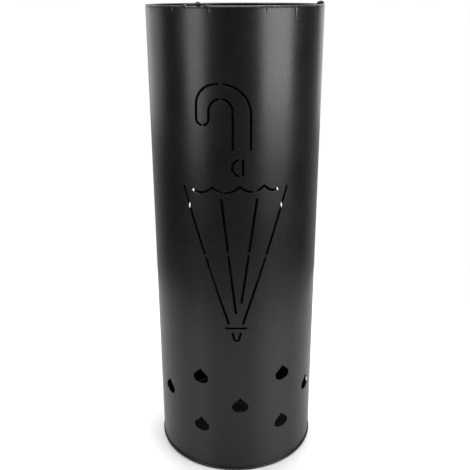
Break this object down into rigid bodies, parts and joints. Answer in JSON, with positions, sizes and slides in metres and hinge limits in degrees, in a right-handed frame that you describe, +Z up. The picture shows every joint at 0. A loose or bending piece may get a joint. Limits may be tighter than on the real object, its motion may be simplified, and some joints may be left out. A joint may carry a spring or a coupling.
{
  "type": "umbrella stand",
  "caption": "Tall round sheet-metal umbrella stand with a cut-out umbrella and rain drops, wired rim, strap hooks inside the rim, a lift-out drip tray and foam feet.",
  "frame": {"origin": "on the floor, on the axis of the tube, under the foot pads", "axes": "+Z up along the tube; -Y towards the front umbrella; the welded lap of the tube is at the back"},
  "size_m": [0.1828, 0.182, 0.5056],
  "materials": {
    "powder_coat": "satin black powder coat",
    "rim_steel": "black coated steel wire",
    "hook_coat": "black coated steel wire",
    "tray_plastic": "moulded black plastic",
    "foam_pad": "matt black foam rubber"
  },
  "bodies": {
    "stand": {"wall_shell": "powder_coat", "rim_wire": "rim_steel", "base_plate": "powder_coat", "foot_pad_front_right": "foam_pad", "foot_pad_back_right": "foam_pad", "foot_pad_back_left": "foam_pad", "foot_pad_front_left": "foam_pad"},
    "tray": {"drip_tray": "tray_plastic"},
    "left_hook": {"hook_left": "hook_coat"},
    "right_hook": {"hook_right": "hook_coat"}
  },
  "joints": [
    {"name": "tray_lift", "type": "slide", "parent": "stand", "child": "tray", "axis": [0, 0, 1], "range_m": [0, 0.52]},
    {"name": "left_hook_swing", "type": "hinge", "parent": "stand", "child": "left_hook", "pos_m": [-0.03328, -0.08238, 0.50055], "axis": [0.9272, -0.3746, 0], "range_deg": [0, 50]},
    {"name": "right_hook_swing", "type": "hinge", "parent": "stand", "child": "right_hook", "pos_m": [0.08799, 0.01237, 0.50055], "axis": [-0.1392, 0.9903, 0], "range_deg": [0, 50]}
  ]
}
